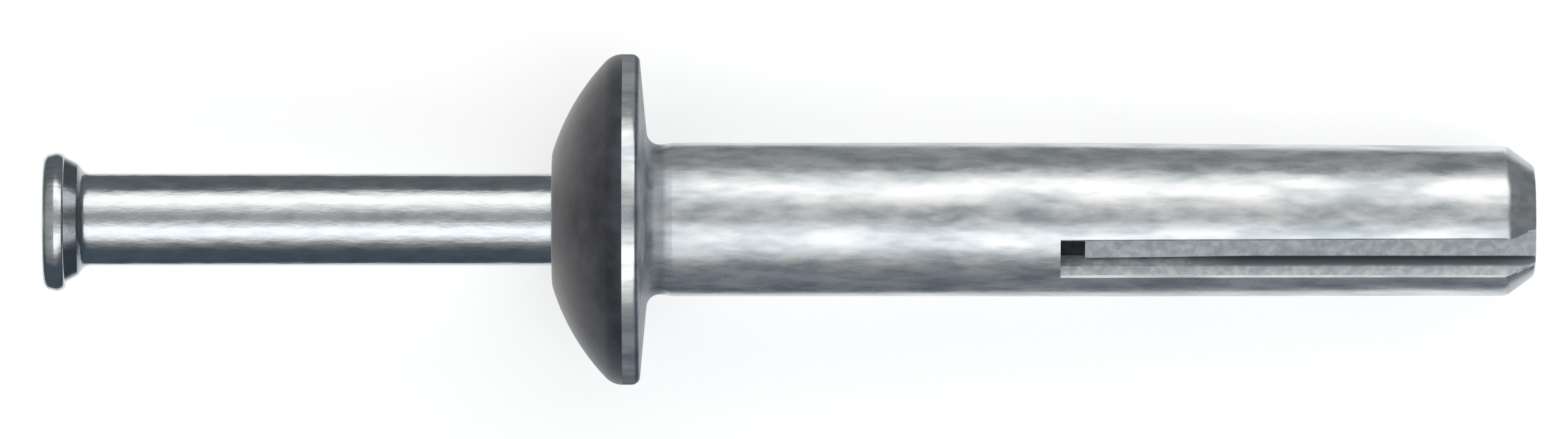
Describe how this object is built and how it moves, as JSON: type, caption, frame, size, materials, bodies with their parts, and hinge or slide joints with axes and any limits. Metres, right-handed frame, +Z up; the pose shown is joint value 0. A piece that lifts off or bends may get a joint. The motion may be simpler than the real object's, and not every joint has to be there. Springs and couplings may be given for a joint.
{
  "type": "hammer drive anchor",
  "caption": "Mushroom-headed zinc masonry anchor with split legs and a steel pin that a hammer drives in to spread them.",
  "frame": {"origin": "on the surface that the anchor lies on, under the middle of its bounding box", "axes": "+X along the anchor from the pin's head to the tip, +Z up; the anchor's own axis lies in the XZ plane and slopes 5.7 degrees down towards the tip"},
  "size_m": [0.0632, 0.014, 0.0139],
  "materials": {
    "cast_zinc": "satin die-cast zinc alloy with fine lengthwise streaks, the dome darker and duller",
    "plated_steel": "bright zinc plating on drawn steel"
  },
  "bodies": {
    "sleeve": {"anchor_sleeve": "cast_zinc"},
    "pin": {"drive_pin": "plated_steel"}
  },
  "joints": [
    {"name": "pin_drive", "type": "slide", "parent": "sleeve", "child": "pin", "axis": [0.995, 0, -0.0995], "range_m": [0, 0.0201], "deforming": ["anchor_sleeve"]}
  ]
}
